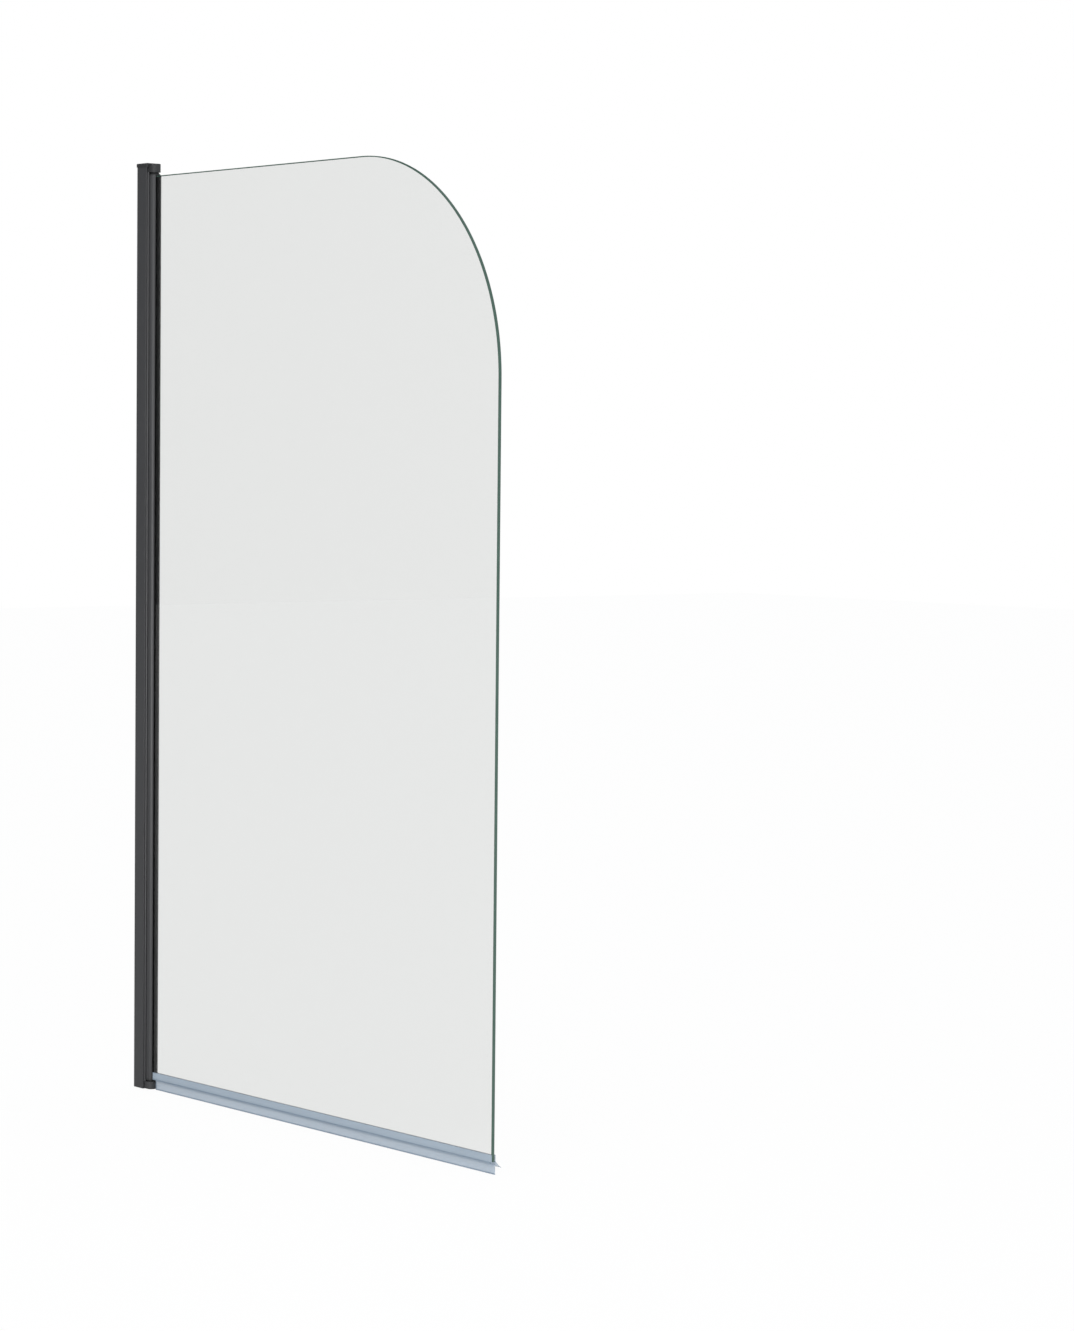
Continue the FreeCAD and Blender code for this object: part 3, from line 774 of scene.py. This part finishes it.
class SCREEN_OT_profile(bpy.types.Operator):
    """The inner profile with round front corners, the post's seat, a hollow and a screw port"""

    bl_idname = "screen.profile"
    bl_label = "Inner profile"

    def execute(self, context):
        size = sizes()
        shape = bmesh.new()
        self.outside(shape)
        self.hollow(shape)
        port = Matrix.Translation((size.port_place, 0, 0))
        bmesh.ops.create_circle(
            shape, radius=size.port_bore, segments=PORT_BORE_STEPS, matrix=port
        )
        bmesh.ops.triangle_fill(shape, use_beauty=True, edges=list(shape.edges))
        bmesh.ops.translate(shape, verts=shape.verts, vec=(0, 0, PROFILE_LOW.z))
        pulled(shape, list(shape.faces), Vector((0, 0, PROFILE_HIGH.z - PROFILE_LOW.z)))
        coat = shared("profile_coat", coated_finish, colours().coat)
        finished(
            "inner_profile", shape, "frame", "coated_profile", coat, replaces=["slide_profile"]
        )
        return {"FINISHED"}

    def outside(self, shape):
        """The outer outline, with a round corner on each side of the post's seat."""
        size = sizes()
        half = PROFILE_HIGH.y
        radius = size.profile_round
        seat = POST_RADIUS + size.seat_gap
        corner = Vector((size.profile_front - radius, radius - half, 0))
        axis = Vector((AXIS_X, 0, 0))
        apart = (axis - corner).length
        # Angles at the corner's centre and at the axis to the point where the two arcs cross.
        at_corner = math.acos((apart**2 + radius**2 - seat**2) / (2 * apart * radius))
        at_axis = math.acos((apart**2 + seat**2 - radius**2) / (2 * apart * seat))
        lean = math.atan2(axis.y - corner.y, axis.x - corner.x)
        turn = math.pi / 2 + lean - at_corner
        mirrored_corner = (corner.x, -corner.y, 0)
        first = shape.verts.new((PROFILE_LOW.x, -half, 0))
        at = on_from(shape, first, (corner.x, -half, 0))
        at = round_from(shape, at, corner, turn, PROFILE_CORNER_STEPS)
        at = round_from(shape, at, axis, -2 * (lean + at_axis), PROFILE_SEAT_STEPS)
        at = round_from(shape, at, mirrored_corner, turn, PROFILE_CORNER_STEPS)
        at = on_from(shape, at, (PROFILE_LOW.x, half, 0))
        shape.edges.new((at, first))

    def hollow(self, shape):
        """The outline of the hollow, which runs round the screw port and its web."""
        size = sizes()
        web = size.profile_wall / 2
        back = PROFILE_LOW.x + size.profile_wall
        front = AXIS_X - POST_RADIUS - size.seat_gap - size.profile_wall
        wide = PROFILE_HIGH.y - size.profile_wall
        meets = size.port_place - math.sqrt(size.port_outer**2 - web**2)
        half_turn = math.pi - math.asin(web / size.port_outer)
        first = shape.verts.new((back, web, 0))
        at = on_from(shape, first, (meets, web, 0))
        at = round_from(shape, at, (size.port_place, 0, 0), -2 * half_turn, PORT_STEPS)
        at = on_from(shape, at, (back, -web, 0), (back, -wide, 0), (front, -wide, 0))
        at = on_from(shape, at, (front, wide, 0), (back, wide, 0))
        shape.edges.new((at, first))


class SCREEN_OT_screws(bpy.types.Operator):
    """The end screws with a cross recess, and the domed covers of the side screws"""

    bl_idname = "screen.screws"
    bl_label = "Screws and covers"

    def execute(self, context):
        low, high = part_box("end_screws")
        middle = (low + high) / 2
        steel = shared("screw_steel", turned_finish, colours().steel)
        shape = bmesh.new()
        for level, up in ((low.z, False), (high.z, True)):
            self.screw(shape, Vector((middle.x, middle.y, level)), up)
        finished(
            "end_screws_crossed", shape, "frame", "screw_steel", steel, replaces=["end_screws"]
        )
        low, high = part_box("screw_covers")
        moulding = shared("cover_black", moulded_finish, colours().moulding, rough=0.34)
        shape = bmesh.new()
        middle = (low + high) / 2
        radius = sizes().cover_radius
        for level in (low.z + radius, middle.z, high.z - radius):
            self.cover(shape, Vector((middle.x, low.y, level)))
        finished("covers", shape, "frame", "cover_moulding", moulding, replaces=["screw_covers"])
        return {"FINISHED"}

    def screw(self, shape, place, up):
        """A screw whose head's top lies at a place and faces up or down."""
        size = sizes()
        fresh = bmesh.new()
        tall = size.head_height
        rod(fresh, size.head_radius, 0, tall, HEAD_STEPS)
        rim = []
        for edge in fresh.edges:
            if all(abs(vert.co.z) < SAME_PLACE for vert in edge.verts):
                rim.append(edge)
        softened(fresh, rim, size.head_round, steps=4)
        arm = size.recess_width / 2
        reach = size.recess_reach
        for normal in (Vector((1, 0, 0)), Vector((0, 1, 0))):
            for distance in (-reach, -arm, arm, reach):
                crown = [face for face in fresh.faces if face.normal.z > FLAT_ACROSS]
                cut_through(fresh, normal * distance, normal, crown)
        cross = []
        for face in fresh.faces:
            middle = face.calc_center_median()
            near, far = sorted((abs(middle.x), abs(middle.y)))
            if face.normal.z > FLAT_ACROSS and near < arm and far < reach:
                cross.append(face)
        sunk = bmesh.ops.extrude_face_region(fresh, geom=cross)
        moved = [part for part in sunk["geom"] if isinstance(part, bmesh.types.BMVert)]
        bmesh.ops.delete(fresh, geom=cross, context="FACES")
        bmesh.ops.scale(fresh, verts=moved, vec=Vector((RECESS_TAPER, RECESS_TAPER, 1)))
        bmesh.ops.translate(fresh, verts=moved, vec=Vector((0, 0, -size.recess_depth)))
        # The shank starts half way down the head, so the two overlap.
        rod(fresh, size.shank_radius, -tall / 2, size.screw_length - tall / 2, SHANK_STEPS)
        if not up:
            half_turn = Matrix.Rotation(math.pi, 3, "X")
            bmesh.ops.rotate(fresh, verts=fresh.verts, matrix=half_turn)
        bmesh.ops.translate(fresh, verts=fresh.verts, vec=place)
        joined(shape, fresh)

    def cover(self, shape, place):
        """A hollow domed cover on the channel's bath side, over the head of a screw."""
        size = sizes()
        fresh = bmesh.new()
        ceiling = size.cover_height - size.cover_top
        section = [(out * size.cover_radius, rise * size.cover_height) for out, rise in DOME]
        section += [(size.cover_hollow, 0), (size.cover_hollow, ceiling), (0, ceiling)]
        ring = [fresh.verts.new((x, 0, z)) for x, z in section]
        edges = [fresh.edges.new(pair) for pair in zip(ring, ring[1:])]
        bmesh.ops.spin(
            fresh,
            geom=ring + edges,
            cent=(0, 0, 0),
            axis=(0, 0, 1),
            angle=2 * math.pi,
            steps=COVER_STEPS,
            use_merge=True,
        )
        bmesh.ops.remove_doubles(fresh, verts=fresh.verts, dist=MERGE_WITHIN)
        bmesh.ops.recalc_face_normals(fresh, faces=fresh.faces)
        quarter_turn = Matrix.Rotation(-math.pi / 2, 3, "X")
        bmesh.ops.rotate(fresh, verts=fresh.verts, matrix=quarter_turn)
        bmesh.ops.translate(fresh, verts=fresh.verts, vec=place)
        joined(shape, fresh)


class SCREEN_OT_finishes(bpy.types.Operator):
    """Finishes of the nodes that are shown as they are"""

    bl_idname = "screen.finishes"
    bl_label = "Finishes"

    def execute(self, context):
        tone = colours()
        moulding = shared("moulded_black", moulded_finish, tone.moulding)
        # A denser black for the bushes and the thrust washer, as in the photograph: partly the
        # bushes' own black plastic, partly painted shade that deepens the gaps at the post's ends.
        dense_gap_shade = shade_of(tone.moulding, 0.3)
        acetal_and_gap_shade = shared("black_acetal", moulded_finish, dense_gap_shade, rough=0.5)
        # A paler copy of the same black for the block, as in the photograph: painted light that
        # falls on the block.
        block = shared("block_black", moulded_finish, shade_of(tone.moulding, 1.7))
        steel = shared("pin_steel", turned_finish, tone.steel)
        carried("wall_channel", shared("profile_coat", coated_finish, tone.coat))
        carried("bottom_block", block)
        for node in ("top_cap", "top_post_end", "bottom_post_end"):
            carried(node, moulding)
        for node in ("top_bush", "bottom_bush", "thrust_washer"):
            carried(node, acetal_and_gap_shade)
        for node in ("top_pivot_pin", "bottom_pivot_pin", "side_screws"):
            carried(node, steel)
        return {"FINISHED"}


class SCREEN_OT_stage(bpy.types.Operator):
    """Pale floor and sky, soft lamps and the camera"""

    bl_idname = "screen.stage"
    bl_label = "Stage"

    def execute(self, context):
        self.floor()
        self.world()
        self.lamp(
            "lamp_tall", place=(1.75, -3.3, 0.25), aim=(0.1, 0, 0.4), size=(0.6, 1.3), power=40.0
        )
        self.lamp(
            "lamp_above", place=(2.6, -1.6, 3.4), aim=(0.4, 0, 0.6), size=(2.4, 2.4), power=36.0
        )
        self.camera()
        return {"FINISHED"}

    def floor(self):
        shape = bmesh.new()
        bmesh.ops.create_grid(shape, x_segments=1, y_segments=1, size=FLOOR_REACH)
        mesh = bpy.data.meshes.new("stage_floor")
        shape.to_mesh(mesh)
        shape.free()
        floor = linked("stage_floor", mesh)
        floor.location.z = CAD_BOX[0].z - FLOOR_DROP
        finish = Finish("stage_floor")
        seen, passing, mirrored = finish.rays("Camera", "Transmission", "Glossy")
        white = finish.node("ShaderNodeEmission", Color=WHITE, Strength=1.0)
        matt = finish.node("ShaderNodeBsdfDiffuse", Color=solid(colours().floor))
        shown = seen.either(passing).either(mirrored) * FLOOR_SHOWN
        bright = finish.node("ShaderNodeMixShader", {}, shown, matt, white)
        dark = finish.node("ShaderNodeEmission", Color=WHITE, Strength=FLOOR_DARK_GLOW)
        across = finish.node("ShaderNodeSeparateXYZ", {}, finish.place())
        wall_side = across.falling(*FLOOR_WALL_SIDE) * mirrored * (1 - passing)
        darkened = wall_side * FLOOR_DARK_SHARE
        mixed = finish.node("ShaderNodeMixShader", {}, darkened, bright, dark)
        mesh.materials.append(finish.surface(mixed))

    def world(self):
        world = bpy.data.worlds.new("studio")
        bpy.context.scene.world = world
        sky = Nodes(world)
        seen, passing, mirrored = sky.rays("Camera", "Transmission", "Glossy")
        ray = sky.node("ShaderNodeTexCoord", out="Generated")
        across = sky.node("ShaderNodeSeparateXYZ", {}, ray)
        wall_side = across.falling(*SKY_WALL_SIDE)
        strength = SKY_STRENGTH - mirrored * wall_side * SKY_DIMMED
        soft = sky.node("ShaderNodeBackground", Color=SKY, Strength=strength)
        white = sky.node("ShaderNodeBackground", Color=WHITE, Strength=1.0)
        mixed = sky.node("ShaderNodeMixShader", {}, seen.either(passing), soft, white)
        sky.node("ShaderNodeOutputWorld", {}, mixed)

    def lamp(self, name, place, aim, size, power):
        light = bpy.data.lights.new(name, "AREA")
        light.shape = "RECTANGLE"
        light.size, light.size_y = size
        light.energy = power
        lamp = linked(name, light)
        lamp.location = place
        ahead = Vector(aim) - Vector(place)
        lamp.rotation_euler = ahead.to_track_quat("-Z", "Y").to_euler()
        # The flat pane would mirror the lamp as a hard white block.
        passed_by = bpy.data.collections.new(f"{name}_passes_by")
        passed_by.objects.link(bpy.data.objects["pane"])
        passed_by.collection_objects[0].light_linking.link_state = "EXCLUDE"
        lamp.light_linking.receiver_collection = passed_by

    def camera(self):
        lens = bpy.data.cameras.new("photo_camera")
        lens.sensor_fit = "VERTICAL"
        lens.sensor_height = 36.0
        lens.lens = CAMERA_LENS
        lens.clip_end = 60.0
        camera = linked("photo_camera", lens)
        roll = Quaternion((0, 0, 1), math.radians(CAMERA_ROLL))
        turned = Vector(CAMERA_AHEAD).to_track_quat("-Z", "Y") @ roll
        camera.matrix_world = Matrix.LocRotScale(Vector(CAMERA_PLACE), turned, None)
        bpy.context.scene.camera = camera


class SCREEN_PT_panel(bpy.types.Panel):
    bl_label = "Bath screen"
    bl_idname = "SCREEN_PT_panel"
    bl_space_type = "VIEW_3D"
    bl_region_type = "UI"
    bl_category = "Screen"

    def draw(self, context):
        for operator in OPERATORS:
            self.layout.operator(operator.bl_idname)
        for group in (context.scene.screen_sizes, context.scene.screen_colours):
            for name in group.bl_rna.properties.keys():
                if name not in ("rna_type", "name"):
                    self.layout.prop(group, name)


OPERATORS = (
    SCREEN_OT_pane,
    SCREEN_OT_strip,
    SCREEN_OT_post,
    SCREEN_OT_profile,
    SCREEN_OT_screws,
    SCREEN_OT_finishes,
    SCREEN_OT_stage,
)
CLASSES = (ScreenSizes, ScreenColours, *OPERATORS, SCREEN_PT_panel)


def register():
    for made in CLASSES:
        bpy.utils.register_class(made)
    bpy.types.Scene.screen_sizes = PointerProperty(type=ScreenSizes)
    bpy.types.Scene.screen_colours = PointerProperty(type=ScreenColours)


def unregister():
    del bpy.types.Scene.screen_colours
    del bpy.types.Scene.screen_sizes
    for made in reversed(CLASSES):
        bpy.utils.unregister_class(made)


def main():
    register()
    bpy.context.scene.view_settings.view_transform = "Standard"
    bpy.ops.screen.pane()
    bpy.ops.screen.strip()
    bpy.ops.screen.post()
    bpy.ops.screen.profile()
    bpy.ops.screen.screws()
    bpy.ops.screen.finishes()
    # The stage comes last, because its lamps need the pane.
    bpy.ops.screen.stage()


if __name__ == "__main__":
    main()
